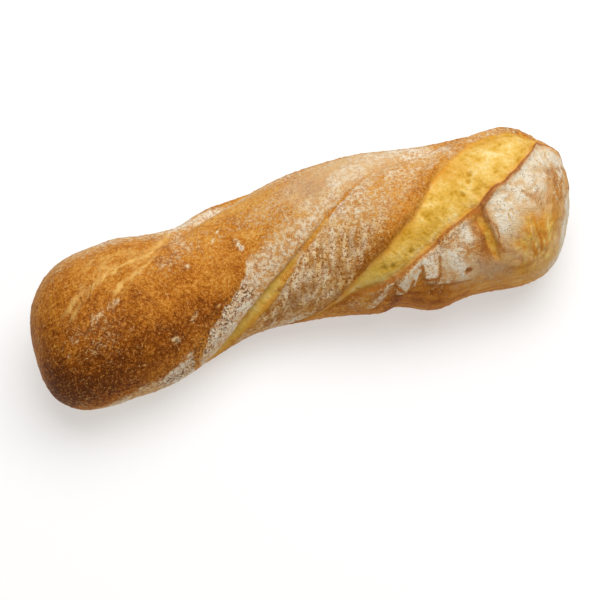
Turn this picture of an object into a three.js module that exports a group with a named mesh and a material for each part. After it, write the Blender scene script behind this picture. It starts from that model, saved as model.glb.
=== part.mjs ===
// A twisted sandwich baguette: one solid loaf, lying on its flat base.
// Millimetres, +Z up. X runs along the loaf, -Y is its front, and the origin is under its middle.
import * as THREE from 'three';

// Overall form
const LENGTH = 280;
const HEIGHT_SHARE = 0.84; // height of the round section, as a share of its width
const BASE_SINK = 5; // how much of the round section the flat base takes away
// Superellipse caps: a higher power is blunter, and a slant makes the front reach further than the back
const LEFT_END = { length: 40, power: 2.8, slant: 0.07 };
const RIGHT_END = { length: 32, power: 2.6, slant: 0 };
// The right end's uneven rim: [angle round the loaf, how far it reaches past the cap]
const END_REACH = [
  [-180, -3], [-90, -2], [-40, -4], [10, -2], [45, 0], [75, 0.5], [100, 2.5], [130, -3], [180, -3],
];

// Values at nine stations, evenly spaced from the left end to the right end
const HALF_WIDTH = [38.1, 39.4, 36.9, 33.5, 37.9, 42.2, 41.8, 41.6, 32.5];
const SIDE_SHIFT = [-4.8, -0.8, 1.4, 10, 9.5, 2.9, -2.8, -4.8, 8.8];

// The round left lobe stops short at a narrow neck
const LOBE_SWELLS = [
  { x: -86, width: 11, height: 1.2 },
  { x: -55, width: 10, height: -0.9 },
];

// The twist. Angles go round the loaf in degrees: 0 is the front, 90 the top, 180 the back.
const TWIST = [-210, -162, -108, -50, 0, 32, 62, 84, 100]; // how far the dough has turned at each station
const MEAN_RADIUS = 37; // turns an angle into a distance round the loaf
const PILLOW_REACH = 11; // how far from a crease the dough swells back to full height

// The long split, a leaf-shaped opening between the burst strand and the floury right end:
// [x, angle] along its lower and its upper edge, which start as one line
const SPLIT_LOWER = [
  [-140, -158], [-105, -119], [-70, -79], [-35, -41], [-6, -9], [6, 5], [12, 12], [20, 17], [27, 20],
  [33, 24.5], [43, 35], [50, 42], [57, 49.5], [62, 54], [70, 59], [76, 63.5], [80, 66], [84, 71],
  [88, 75.5], [92, 78.5], [97, 80.5], [102, 84], [110, 90], [117, 95], [121, 99], [126, 108],
];
const SPLIT_UPPER = [
  [-140, -158], [-105, -119], [-70, -79], [-35, -40], [-6, -7], [6, 12], [14, 27], [22, 38], [31, 48.5],
  [42, 61], [52, 74], [60, 86], [66, 96], [74, 106.5], [82, 115], [90, 123], [104, 131], [118, 126],
  [126, 113],
];
const SPLIT_CLOSES = { x: 126, soft: 2 };
const SPLIT_DEPTH = 2.6;
const SPLIT_CROWN = 1.6; // the torn crumb rises again towards the middle of the split
const SPLIT_WALL = 1.8; // softness of the step at the lower edge
const SPLIT_SHOULDER = 3.6; // and at the upper edge, which is rounded over
const SPLIT_FULL_AT = 6; // half-width at which the split has its whole depth
const SPLIT_SLIT_SHARE = 0.35; // share of that depth where it is only a slit
// Crust that stands up along the lower edge, by [x, height]
const LIP = { away: 2.0, width: 2.4, heights: [[0, 0.3], [60, 0.5], [74, 0.9], [86, 1.7], [126, 1.5]] };
const SHOULDER = { height: 0.9, away: 3.0, width: 3.2 }; // the strand's rounded upper edge

// The two creases where the twisted strands meet
const MIDDLE_PATH = [-140, -90, -35, 23, 67, 106, 131, 156, 172];
const MIDDLE_DEPTH = [0.5, 1.5, 2.8, 2.6, 1.4, 1.2, 2.2, 1.6, 0.2];
const BACK_PATH = [80, 97, 118, 138, 168, 206, 246, 285, 318];
const BACK_DEPTH = [0.4, 0.8, 1.4, 1.4, 2.0, 2.2, 1.6, 0.6, 0];
const BACK_LAP = { x: -38, long: 20, away: 8, wide: 7, height: 2.2 }; // dough that laps over the back crease
const CREASE_STEEP = 2.0; // reach of the crease on its overlapping side
const CREASE_EASY = 4.2; // reach on its other side
const PILLOW_SHARE = 0.45; // broad hollow beside a crease, as a share of the crease's depth

// The crust of the right end: a crack, lifted scales, and the edge of its skin low on the front
const CRACK = { x: 82, lean: -0.08, low: 28, high: 67, width: 3.0, depth: 1.8, soft: 6 };
// Scales of skin from a root to a lifted tip, each end an [x, angle] pair
const SCALES = [
  { root: [49, 37], tip: [48.5, 22], radius: 3.6, lift: 1.3 },
  { root: [42, 30], tip: [34.5, 12], radius: 3.3, lift: 1.3 },
  { root: [28, 20], tip: [20, -3], radius: 2.2, lift: 0.8 },
];
const SCALE_EDGE = 1.2; // softness of a scale's edge
const SKIN_EDGE = [[36, 16], [49, 14], [58, 13], [68, 11], [83, 4], [98, 0], [112, -4]]; // [x, angle]
const SKIN_DROP = { from: 40, to: 112, depth: 1.0, soft: 2.5, fade: 12 };

const END_PINCH = { x: 128, angle: 124, long: 9, high: 12, depth: 2.2 }; // just past the split's top end

// Folds along the foot of the front, where the dough was pinched
const FOOT = { low: -80, high: 8, soft: 20 };
const FOOT_FOLDS = [
  { x: 36, width: 6, height: -3.2 },
  { x: 53, width: 9, height: 2.8 },
  { x: 82, width: 13, height: -1.6 },
];

// Relief dies away round the base, between these heights on the round section (-1 lowest, 1 highest)
const BASE_FADE = { none: -0.86, full: -0.45 };

// Grid of the surface
const ROWS = { left: 11, body: 68, right: 10 };
const COLUMNS = 60;
const GATHER = 0.5; // draws the columns together round the split and the middle crease
const GATHER_ANGLE = 34;

const radians = THREE.MathUtils.degToRad;
const clamp = THREE.MathUtils.clamp;
const mmPerDegree = MEAN_RADIUS * Math.PI / 180;
const bell = (distance, width) => Math.exp(-((distance / width) ** 2));
const rise = (distance, soft) => THREE.MathUtils.smoothstep(distance, -soft, soft);

// A smooth curve through the station values, read at x
function along(stations, x) {
  const last = stations.length - 1;
  const place = clamp((x / LENGTH + 0.5) * last, 0, last - 1e-9);
  const index = Math.floor(place);
  const share = place - index;
  const at = (step) => stations[clamp(index + step, 0, last)];
  const [a, b, c, d] = [at(-1), at(0), at(1), at(2)];
  const bend = 3 * (b - c) + d - a;
  return b + 0.5 * share * (c - a + share * (2 * a - 5 * b + 4 * c - d + share * bend));
}

// A broken line through [place, value] marks, read at a place
function through(marks, place) {
  const next = marks.findIndex((mark) => mark[0] > place);
  if (next <= 0) return next === 0 ? marks[0][1] : marks.at(-1)[1];
  const [[start, low], [stop, high]] = [marks[next - 1], marks[next]];
  return THREE.MathUtils.mapLinear(place, start, stop, low, high);
}

// Sum of the swells and pinches in a list, read at x
function swellAt(swells, x) {
  return swells.reduce((sum, swell) => sum + swell.height * bell(x - swell.x, swell.width), 0);
}

// Distance round the loaf from a line to an angle, positive above the line
function distanceFrom(lineAngle, angle) {
  const turned = THREE.MathUtils.euclideanModulo(angle - lineAngle + 180, 360) - 180;
  return turned * mmPerDegree;
}

// The split: a torn floor below the skin, with a lip under it and a rounded shoulder over it
function splitRelief(x, angle) {
  const [low, high] = [through(SPLIT_LOWER, x), through(SPLIT_UPPER, x)];
  const half = (high - low) / 2 * mmPerDegree * rise(SPLIT_CLOSES.x - x, SPLIT_CLOSES.soft);
  const open = clamp(half / SPLIT_FULL_AT, 0, 1);
  const across = distanceFrom((low + high) / 2, angle);
  const share = half > 0 ? clamp(across / half, -1, 1) : 0;
  const floor = -SPLIT_DEPTH + SPLIT_CROWN * (1 - share ** 2);
  const inside = rise(half + across, SPLIT_WALL) * rise(half - across, SPLIT_SHOULDER) * clamp(half, 0, 1);
  const lip = through(LIP.heights, x) * bell(across + half + LIP.away, LIP.width);
  const shoulder = SHOULDER.height * bell(across - half - SHOULDER.away, SHOULDER.width);
  const depthShare = THREE.MathUtils.lerp(SPLIT_SLIT_SHARE, 1, open);
  return inside * floor * depthShare + open * (lip + shoulder);
}

// A crease: steep where one strand laps the next, easy on the other side, in a broad hollow
function creaseRelief(path, depths, x, angle) {
  const across = distanceFrom(along(path, x), angle);
  const depth = along(depths, x);
  const narrow = bell(across, across > 0 ? CREASE_STEEP : CREASE_EASY);
  return -depth * (narrow + PILLOW_SHARE * bell(across, PILLOW_REACH));
}

// The swelling where one strand laps over the back crease
function backLapRelief(x, angle) {
  const across = distanceFrom(along(BACK_PATH, x), angle);
  return BACK_LAP.height * bell(x - BACK_LAP.x, BACK_LAP.long) * bell(across - BACK_LAP.away, BACK_LAP.wide);
}

// The crack runs round the right end and leans a little with height
function crackRelief(x, angle) {
  const middle = CRACK.x + CRACK.lean * (angle - CRACK.low);
  const within = rise(angle - CRACK.low, CRACK.soft) * rise(CRACK.high - angle, CRACK.soft);
  return -CRACK.depth * within * bell(x - middle, CRACK.width);
}

// Scales of skin, each a low mound round a segment, lower at its root than at its lifted tip
function scaleRelief(x, angle) {
  let total = 0;
  for (const { root, tip, radius, lift } of SCALES) {
    const [runX, runRound] = [tip[0] - root[0], distanceFrom(root[1], tip[1])];
    const [offX, offRound] = [x - root[0], distanceFrom(root[1], angle)];
    const toTip = clamp((offX * runX + offRound * runRound) / (runX ** 2 + runRound ** 2), 0, 1);
    const away = Math.hypot(offX - toTip * runX, offRound - toTip * runRound);
    total += lift * THREE.MathUtils.lerp(0.3, 1, toTip) * rise(radius - away, SCALE_EDGE);
  }
  return total;
}

// A hollow that sets the burst top of the split off from the right end
function endPinchRelief(x, angle) {
  const { long, high, depth } = END_PINCH;
  return -depth * bell(x - END_PINCH.x, long) * bell(distanceFrom(END_PINCH.angle, angle), high);
}

// Below the skin's edge the crust of the right end steps in
function skinEdgeRelief(x, angle) {
  const { from, to, depth, soft, fade } = SKIN_DROP;
  const run = rise(x - from, fade) * rise(to - x, fade);
  const below = rise(-distanceFrom(through(SKIN_EDGE, x), angle), soft);
  const aboveFoot = rise(angle - FOOT.low, FOOT.soft);
  return -depth * run * below * aboveFoot;
}

// Pinches and swells along the foot of the front
function footRelief(x, angle) {
  const front = rise(FOOT.high - angle, FOOT.soft) * rise(angle - FOOT.low, FOOT.soft);
  return front * swellAt(FOOT_FOLDS, x);
}

// All relief on the round section, in millimetres outwards
function relief(x, angle) {
  const { none, full } = BASE_FADE;
  const offBase = THREE.MathUtils.smoothstep(Math.sin(radians(angle)), none, full);
  const folds = creaseRelief(MIDDLE_PATH, MIDDLE_DEPTH, x, angle)
    + creaseRelief(BACK_PATH, BACK_DEPTH, x, angle)
    + backLapRelief(x, angle);
  const crust = crackRelief(x, angle) + scaleRelief(x, angle) + skinEdgeRelief(x, angle);
  const pinches = endPinchRelief(x, angle) + footRelief(x, angle);
  return offBase * (splitRelief(x, angle) + folds + crust + pinches);
}

// Rows along the loaf: where each lies, and how far its ring has shrunk into an end cap
function lengthwiseRows() {
  const rows = [];
  const capRow = (end, step, count) => {
    const turn = (1 - step / count) * Math.PI / 2;
    const inset = end.length * (1 - Math.sin(turn) ** (2 / end.power));
    return { inset, size: Math.cos(turn) ** (2 / end.power) };
  };
  for (let step = 1; step < ROWS.left; step += 1) {
    const { inset, size } = capRow(LEFT_END, step, ROWS.left);
    rows.push({ x: -LENGTH / 2 + inset, size });
  }
  for (let step = 0; step < ROWS.body; step += 1) {
    const start = -LENGTH / 2 + LEFT_END.length;
    const finish = LENGTH / 2 - RIGHT_END.length;
    rows.push({ x: THREE.MathUtils.lerp(start, finish, step / (ROWS.body - 1)), size: 1 });
  }
  for (let step = ROWS.right - 1; step >= 1; step -= 1) {
    const { inset, size } = capRow(RIGHT_END, step, ROWS.right);
    rows.push({ x: LENGTH / 2 - inset, size });
  }
  return rows;
}

// Angle of a column before the twist, closer together round the gathered side
function columnAngle(column) {
  const turn = (column / COLUMNS) * 2 * Math.PI - Math.PI;
  return GATHER_ANGLE + THREE.MathUtils.radToDeg(turn - GATHER * Math.sin(turn));
}

// A point of the surface at length x, angle round the loaf and ring size
function surfacePoint(x, size, angle) {
  const wrapped = THREE.MathUtils.euclideanModulo(angle + 180, 360) - 180;
  const halfWidth = along(HALF_WIDTH, x) + swellAt(LOBE_SWELLS, x);
  const halfHeight = HEIGHT_SHARE * halfWidth;
  const outward = relief(x, wrapped);
  const sideways = -size * (halfWidth + outward) * Math.cos(radians(angle));
  const upward = halfHeight - BASE_SINK + size * (halfHeight + outward) * Math.sin(radians(angle));
  const end = x < 0 ? LEFT_END : RIGHT_END;
  const intoCap = clamp((Math.abs(x) - LENGTH / 2 + end.length) / end.length, 0, 1);
  const reach = x < 0 ? 0 : through(END_REACH, wrapped) * rise(size - 0.3, 0.3);
  const lengthwise = x + (reach - Math.sign(x) * end.slant * sideways) * intoCap ** 2;
  return [lengthwise, along(SIDE_SHIFT, x) + sideways, Math.max(0, upward)];
}

// The closed skin of the loaf: rings that follow the twist, with a point at each end
function loafGeometry() {
  const rows = lengthwiseRows();
  const points = [];
  points.push(surfacePoint(-LENGTH / 2, 0, 0));
  for (const { x, size } of rows) {
    for (let column = 0; column < COLUMNS; column += 1) {
      points.push(surfacePoint(x, size, columnAngle(column) + along(TWIST, x)));
    }
  }
  points.push(surfacePoint(LENGTH / 2, 0, 0));

  const index = [];
  const corner = (row, column) => 1 + row * COLUMNS + (column % COLUMNS);
  const lastPoint = points.length - 1;
  const lastRow = rows.length - 1;
  for (let column = 0; column < COLUMNS; column += 1) {
    index.push(0, corner(0, column), corner(0, column + 1));
    for (let row = 0; row < lastRow; row += 1) {
      const [a, b] = [corner(row, column), corner(row, column + 1)];
      const [c, d] = [corner(row + 1, column), corner(row + 1, column + 1)];
      index.push(a, c, b, b, c, d);
    }
    index.push(lastPoint, corner(lastRow, column + 1), corner(lastRow, column));
  }

  const geometry = new THREE.BufferGeometry();
  geometry.setAttribute('position', new THREE.Float32BufferAttribute(points.flat(), 3));
  geometry.setIndex(index);
  geometry.computeBoundingBox();
  const middle = geometry.boundingBox.getCenter(new THREE.Vector3());
  geometry.translate(-middle.x, -middle.y, -geometry.boundingBox.min.z);
  geometry.computeVertexNormals();
  return geometry;
}

const crust = new THREE.MeshStandardMaterial({ color: 0xb9772f, roughness: 0.75, metalness: 0 });
const loaf = new THREE.Mesh(loafGeometry(), crust);
loaf.name = 'loaf';

const baguette = new THREE.Group();
baguette.add(loaf);

export default baguette;
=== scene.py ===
# %% [markdown]
# # A twisted sandwich baguette
#
# This lesson dresses one loaf of bread: a short baguette whose dough was twisted before baking, so that its
# creases wind round it, and whose top burst open in the oven. The solid model gives the size and the main
# form. Here we make the crust that shows: its torn split, its flour, its browning and its fine relief.
# Everything is in the solid's own frame: X runs along the loaf, -Y is its front and Z is up.

import bpy
import numpy as np
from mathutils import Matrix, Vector


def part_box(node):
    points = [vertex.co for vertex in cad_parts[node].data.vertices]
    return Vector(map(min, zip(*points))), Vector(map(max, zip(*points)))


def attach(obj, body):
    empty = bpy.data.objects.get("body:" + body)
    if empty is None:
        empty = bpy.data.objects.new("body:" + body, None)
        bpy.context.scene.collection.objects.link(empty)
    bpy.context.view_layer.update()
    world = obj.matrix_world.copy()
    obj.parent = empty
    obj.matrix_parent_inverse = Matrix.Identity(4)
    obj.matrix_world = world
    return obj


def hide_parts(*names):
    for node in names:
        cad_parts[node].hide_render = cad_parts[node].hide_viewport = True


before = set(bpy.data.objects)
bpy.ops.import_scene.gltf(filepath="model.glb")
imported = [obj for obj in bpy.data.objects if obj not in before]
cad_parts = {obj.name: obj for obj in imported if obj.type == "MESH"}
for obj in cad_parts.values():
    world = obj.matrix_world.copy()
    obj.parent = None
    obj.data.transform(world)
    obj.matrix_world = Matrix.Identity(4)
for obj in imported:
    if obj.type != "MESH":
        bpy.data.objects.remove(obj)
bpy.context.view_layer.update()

MM = 0.001
loaf_low, loaf_high = (np.array(corner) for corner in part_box("loaf"))
print("the solid measures", np.round((loaf_high - loaf_low) / MM, 1), "mm")

# %% [markdown]
# ## Curves, steps and bells
#
# A hand-shaped loaf has no straight lines, but a few numbers along its length say most of it. We keep nine
# values for each property, from the left end to the right, and draw a smooth curve through them. Steps and
# bells then raise or sink the skin near a line. All of them take whole arrays, so no loop visits a vertex.

# %% Helpers for shapes
LENGTH = 280.0


def unit(value):
    """The value, held between 0 and 1."""
    return np.clip(value, 0, 1)


def ease(share):
    """Three times share squared less twice share cubed: from 0 to 1, and level at both ends."""
    return share * share * (3 - 2 * share)


def along(stations, x):
    """A Catmull-Rom curve through evenly spaced station values, read at x millimetres from the middle."""
    values = np.asarray(stations, float)
    last = len(values) - 1
    place = np.clip((x / LENGTH + 0.5) * last, 0, last - 1e-9)
    index = np.floor(place).astype(int)
    share = place - index
    a, b, c, d = (values[np.clip(index + step, 0, last)] for step in (-1, 0, 1, 2))
    bend = 3 * (b - c) + d - a
    return b + 0.5 * share * (c - a + share * (2 * a - 5 * b + 4 * c - d + share * bend))


def through(marks, x):
    """A broken line through (place, value) marks, read at x."""
    places, values = np.array(marks, float).T
    return np.interp(x, places, values)


def curve_through(marks, x):
    """Cubic pieces through (place, value) marks, whose slope at a mark is that of the marks beside it."""
    places, values = np.array(marks, float).T
    slopes = np.gradient(values, places)
    index = np.clip(np.searchsorted(places, x) - 1, 0, len(places) - 2)
    span = places[index + 1] - places[index]
    share = unit((x - places[index]) / span)
    leaving = slopes[index] * span * share * (1 - share) ** 2
    arriving = slopes[index + 1] * span * share**2 * (1 - share)
    return blend(values[index], values[index + 1], ease(share)) + leaving - arriving


def bell(distance, width):
    """e to the minus (distance over width) squared: 1 on the line, fading to both sides."""
    return np.exp(-((distance / width) ** 2))


def rise(distance, soft):
    """A smooth step from 0 at -soft to 1 at +soft."""
    return ease(unit(0.5 + 0.5 * distance / soft))


def within(place, start, stop, soft_in, soft_out):
    """1 between start and stop, with a smooth step at each, as soft as it says."""
    return rise(place - start, soft_in) * rise(stop - place, soft_out)


def blend(low, high, share):
    """low where share is 0, high where it is 1."""
    return low + (high - low) * share


def show_range(what, field):
    """Prints the least and the greatest value of a field."""
    print(what, "from", field.min().round(2), "to", field.max().round(2))


print("helpers ready; a step is", rise(0.0, 1.0), "at its middle")

# %% [markdown]
# ## Noise that is the same every time
#
# Crust is uneven at every size: broad dimples, blisters, grain. Blender has noise textures for materials,
# but real relief needs numbers in the mesh, so we make our own value noise. Each corner of a lattice gets a
# number hashed from its place and a seed, and the numbers are blended smoothly in between.

# %% Value noise
HASH_STEPS = np.array([73856093, 19349663, 83492791])
HASH_SEED_STEP = 374761393
HASH_ROUNDS = [(13, 1274126177), (16, 2246822519)]
HASH_LAST_SHIFT = 15
HASH_MASK = 0xFFFFFFFF


def corner_number(cell, seed):
    """A repeatable number from -1 to 1 for each lattice corner: its three counts, hashed with the seed."""
    key = ((cell * HASH_STEPS).sum(-1) + seed * HASH_SEED_STEP) & HASH_MASK
    for shift, factor in HASH_ROUNDS:
        key = ((key ^ (key >> shift)) * factor) & HASH_MASK
    return (key ^ (key >> HASH_LAST_SHIFT)) / (HASH_MASK / 2) - 1


def noise(points, size, seed):
    """Value noise with cells of that size: corner numbers blended by smooth steps along each axis."""
    place = points / size
    cell = np.floor(place).astype(np.int64)
    share = ease(place - cell)
    total = np.zeros(points.shape[:-1])
    for corner in np.ndindex(2, 2, 2):
        weight = np.where(np.array(corner) == 1, share, 1 - share).prod(-1)
        total += weight * corner_number(cell + np.array(corner), seed)
    return total


def cloud(points, size, seed, octaves=3):
    """Noise summed over sizes that halve, each with half the weight of the one before."""
    parts = [noise(points, size / 2**k, seed + k) / 2**k for k in range(octaves)]
    return sum(parts) / sum(1 / 2**k for k in range(octaves))


def cells(points, size, seed):
    """One random point in each lattice cell: how far off the nearest is, in cells, and its own number."""
    place = points / size
    base = np.floor(place).astype(np.int64)
    nearest = np.full(points.shape[:-1], np.inf)
    own = np.zeros(points.shape[:-1])
    for step in np.ndindex(3, 3, 3):
        cell = base + np.array(step) - 1
        shift = np.stack([corner_number(cell, seed + axis) for axis in range(3)], -1)
        distance = np.linalg.norm(place - cell - 0.5 - 0.5 * shift, axis=-1)
        own = np.where(distance < nearest, corner_number(cell, seed + 3), own)
        nearest = np.minimum(nearest, distance)
    return nearest, own


print("noise at one point:", round(float(noise(np.array([[1.5, 2.5, 3.5]]), 1.0, 7)[0]), 3))

# %% [markdown]
# ## The twisted grid
#
# The surface is a function of two parameters: the place along the loaf and the angle round it, where 0
# degrees is the front, 90 the top and 180 the back. The columns of the grid turn with the dough, so that
# creases run along them and stay crisp. Both ends close in a superellipse, which is blunter than a ball.

# %% Rows and columns
LEFT_END = {"length": 40, "power": 2.8, "slant": 0.07, "rows": 40}
RIGHT_END = {"length": 32, "power": 2.6, "slant": 0.0, "rows": 36}
BODY_ROWS = 324
TWIST = [-210, -162, -108, -50, 0, 32, 62, 84, 100]
COLUMNS = 240
GATHER = [-0.35, -0.35, -0.3, 0, 0.3, 0.3, 0.3, 0.3, 0.3]
GATHER_ANGLE = 34
MEAN_RADIUS = 37.0
MM_PER_DEGREE = np.radians(MEAN_RADIUS)


def cap_rows(end):
    """Inset from the tip and ring size of a superellipse cap, from its first ring to its last."""
    turn = (1 - np.arange(1, end["rows"]) / end["rows"]) * np.pi / 2
    inset = end["length"] * (1 - np.sin(turn) ** (2 / end["power"]))
    return inset, np.cos(turn) ** (2 / end["power"])


def column_angles(x):
    """Even turns plus the dough's twist, less a share of each turn's sine, which gathers columns in front."""
    turn = np.arange(COLUMNS) / COLUMNS * 2 * np.pi - np.pi
    gathered = turn - along(GATHER, x)[:, None] * np.sin(turn)
    angle = GATHER_ANGLE + np.degrees(gathered) + along(TWIST, x)[:, None]
    return (angle + 180) % 360 - 180


left_inset, left_size = cap_rows(LEFT_END)
right_inset, right_size = cap_rows(RIGHT_END)
body_x = np.linspace(LEFT_END["length"] - LENGTH / 2, LENGTH / 2 - RIGHT_END["length"], BODY_ROWS)
row_x = np.concatenate([left_inset - LENGTH / 2, body_x, LENGTH / 2 - right_inset[::-1]])
row_size = np.concatenate([left_size, np.ones(BODY_ROWS), right_size[::-1]])
X = np.repeat(row_x[:, None], COLUMNS, axis=1)
RING = np.repeat(row_size[:, None], COLUMNS, axis=1)
ANGLE = column_angles(row_x)
print("grid of", X.shape[0], "rings and", X.shape[1], "columns")

# %% [markdown]
# ## Distances on the crust
#
# Every mark on the loaf is placed on its unrolled skin, like a label peeled off a tin: millimetres along, and
# millimetres round at the mean radius. There, a crease is a line with a signed distance, and a flake or a
# flour patch is a capsule: all points within a radius of a short segment.

# %% Unrolled skin
unrolled = ANGLE * MM_PER_DEGREE
label = np.stack([X, unrolled, 0 * X], -1)
wander = cloud(label, 4, 31)
wander_along = cloud(label, 4, 35)


def distance_from(line_angle):
    """Distance round the loaf from a line, in millimetres, positive above it."""
    return ((ANGLE - line_angle + 180) % 360 - 180) * MM_PER_DEGREE


def capsule(start, stop, shake=0.0):
    """Distance from the segment between two (x, angle) marks, and how far along it the nearest point is."""
    first = np.array([start[0], start[1] * MM_PER_DEGREE])
    run = np.array([stop[0], stop[1] * MM_PER_DEGREE]) - first
    offset = np.stack([X + shake * wander_along, unrolled + shake * wander], -1) - first
    share = unit((offset @ run) / (run @ run))
    return np.linalg.norm(offset - share[..., None] * run, axis=-1), share


def spot(x, angle, long, high):
    """A bell of the distance from a mark, in lengths along and heights round: a soft ellipse."""
    return bell(np.hypot((X - x) / long, distance_from(angle) / high), 1.0)


def path_distance(marks, shake):
    """Distance from a broken line through (x, angle) marks, on skin that noise has shaken by that much."""
    return np.min([capsule(start, stop, shake)[0] for start, stop in zip(marks, marks[1:])], axis=0)


def threads(lengthwise, crosswise, thickness, reach, seed):
    """Noise on stretched coordinates: thin one way and long the other, like pulled threads."""
    return cloud(np.stack([lengthwise / thickness, crosswise / reach, 0 * X], -1), 1.0, seed, 2)


print("edges wander by up to", np.abs(wander).max().round(2), "of their amount")

# %% [markdown]
# ## The main form
#
# The bent body comes from the half-width and side shift at nine stations. The relief is measured along the
# radius: the split is a leaf-shaped hollow with a lip below it and a rounded shoulder above it, and each
# crease is steep where one strand laps the next. These are the solid's own sizes, with crisper edges here
# because the grid is finer.

# %% Sizes of the main form
HEIGHT_SHARE = 0.84
BASE_SINK = 5
HALF_WIDTH = [38.1, 39.4, 36.9, 33.5, 37.9, 42.2, 41.8, 41.6, 32.5]
SIDE_SHIFT = [-4.8, -0.8, 1.4, 10, 9.5, 2.9, -2.8, -4.8, 8.8]
LOBE_SWELLS = [(-86, 11, 1.2), (-55, 10, -0.9)]
END_REACH = [
    (-180, -3), (-90, -2), (-40, -4), (10, -2), (45, 0), (75, 0.5), (100, 2.5), (130, -3), (180, -3),
]
REACH_RING = {"size": 0.3, "soft": 0.3}


def swell_at(swells, x):
    """Sum of bells along the length, each with its place, width and height."""
    return sum(height * bell(x - place, width) for place, width, height in swells)


def body_points(x, ring, angle, relief):
    """Across: shift less ring times half-width times cosine. Up: ring times half-height times sine, or 0."""
    half_width = along(HALF_WIDTH, x) + swell_at(LOBE_SWELLS, x)
    half_height = HEIGHT_SHARE * half_width
    sideways = -ring * (half_width + relief) * np.cos(np.radians(angle))
    upward = half_height - BASE_SINK + ring * (half_height + relief) * np.sin(np.radians(angle))
    length = np.where(x < 0, LEFT_END["length"], RIGHT_END["length"])
    slant = np.where(x < 0, LEFT_END["slant"], RIGHT_END["slant"])
    into_cap = unit((np.abs(x) - LENGTH / 2 + length) / length)
    on_rim = rise(ring - REACH_RING["size"], REACH_RING["soft"])
    reach = np.where(x < 0, 0, through(END_REACH, angle) * on_rim)
    lengthwise = x + (reach - np.sign(x) * slant * sideways) * into_cap**2
    return np.stack([lengthwise, along(SIDE_SHIFT, x) + sideways, np.maximum(upward, 0)], -1)


PLAIN = body_points(X, RING, ANGLE, 0 * X)
print("the plain body spans", np.round(np.ptp(PLAIN.reshape(-1, 3), axis=0), 1), "mm")

# %% The split
SPLIT_LOWER = [
    (-140, -158), (-105, -119), (-70, -79), (-35, -41), (-6, -9), (6, 5), (12, 12), (20, 17), (27, 20),
    (33, 24.5), (43, 35), (50, 42), (57, 49.5), (62, 54), (70, 59), (76, 63.5), (80, 66), (84, 71),
    (88, 75.5), (92, 78.5), (97, 80.5), (102, 84), (110, 90), (117, 95), (121, 99), (126, 108),
]
SPLIT_UPPER = [
    (-140, -158), (-105, -119), (-70, -79), (-35, -40), (-6, -7), (6, 12), (14, 27), (22, 38), (31, 48.5),
    (42, 61), (52, 74), (60, 86), (66, 96), (74, 106.5), (82, 115), (90, 123), (104, 131), (118, 126),
    (126, 113),
]
SPLIT_CLOSES = 127
SPLIT_DEPTH = 2.6
SPLIT_CROWN = 1.6
SPLIT_FULL_AT = 6
SPLIT_SLIT_SHARE = 0.35
SPLIT_WALL = 0.9
SPLIT_SHOULDER = 2.8
LIP = {"away": 1.7, "width": 1.6}
LIP_HEIGHT = [(0, 0.3), (60, 0.5), (74, 0.9), (86, 1.7), (126, 1.5)]
SHOULDER = {"height": 0.9, "away": 3.0, "width": 3.2}

lengthwise_points = np.stack([X, 0 * X, 0 * X], -1)
split_low, split_high = curve_through(SPLIT_LOWER, X), curve_through(SPLIT_UPPER, X)
split_half = (split_high - split_low) / 2 * MM_PER_DEGREE * rise(SPLIT_CLOSES - X, 1.0)
split_open = unit(split_half / SPLIT_FULL_AT)
split_across = distance_from((split_low + split_high) / 2)
above_lip = split_across + split_half + 0.7 * cloud(lengthwise_points, 5, 11) * split_open
below_shoulder = split_half - split_across + 1.0 * cloud(lengthwise_points, 8, 23) * split_open


def split_relief():
    """A crowned floor below the skin, between a steep wall and a rounded shoulder."""
    share = np.where(split_half > 0, np.clip(split_across / np.maximum(split_half, 1e-6), -1, 1), 0)
    floor = -SPLIT_DEPTH + SPLIT_CROWN * (1 - share**2)
    inside = rise(above_lip, SPLIT_WALL) * rise(below_shoulder, SPLIT_SHOULDER) * unit(split_half)
    lip = through(LIP_HEIGHT, X) * bell(above_lip + LIP["away"], LIP["width"])
    shoulder = SHOULDER["height"] * bell(below_shoulder + SHOULDER["away"], SHOULDER["width"])
    depth_share = blend(SPLIT_SLIT_SHARE, 1, split_open)
    return inside * floor * depth_share + split_open * (lip + shoulder)


split_shape = split_relief()
show_range("split relief in mm", split_shape)

# %% The creases
MIDDLE_PATH = [-140, -90, -35, 23, 67, 106, 131, 156, 172]
MIDDLE_DEPTH = [0.5, 1.5, 2.8, 2.6, 1.4, 1.2, 2.2, 1.6, 0.2]
BACK_PATH = [80, 97, 118, 138, 168, 206, 246, 285, 318]
BACK_DEPTH = [0.4, 0.8, 1.4, 1.4, 2.0, 2.2, 1.6, 0.6, 0]
BACK_LAP = {"x": -38, "long": 20, "away": 8, "wide": 7, "height": 2.2}
GROOVE_WIDTH = [
    (-60, 6), (-47, 8.5), (-33, 8), (-25, 7.4), (-18, 5), (-8, 2.8), (0, 1.8), (10, 0.8), (60, 0.6),
]
CREASE_STEEP = 1.3
CREASE_EASY = 3.4
PILLOW_SHARE = 0.45
PILLOW_REACH = 11

middle_across = distance_from(along(MIDDLE_PATH, X))
back_across = distance_from(along(BACK_PATH, X))
groove_width = through(GROOVE_WIDTH, X)


def crease_relief(across, depths, easy):
    """A narrow fold, steep on its upper side and easy on its lower side, in a broad hollow."""
    narrow = np.where(across > 0, bell(across, CREASE_STEEP), bell(across, easy))
    return -along(depths, X) * (narrow + PILLOW_SHARE * bell(across, PILLOW_REACH))


creases = crease_relief(middle_across, MIDDLE_DEPTH, np.maximum(CREASE_EASY, 0.6 * groove_width))
creases = creases + crease_relief(back_across, BACK_DEPTH, CREASE_EASY)
lap = bell(X - BACK_LAP["x"], BACK_LAP["long"]) * bell(back_across - BACK_LAP["away"], BACK_LAP["wide"])
creases = creases + BACK_LAP["height"] * lap
print("creases reach", creases.min().round(2), "mm")

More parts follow.
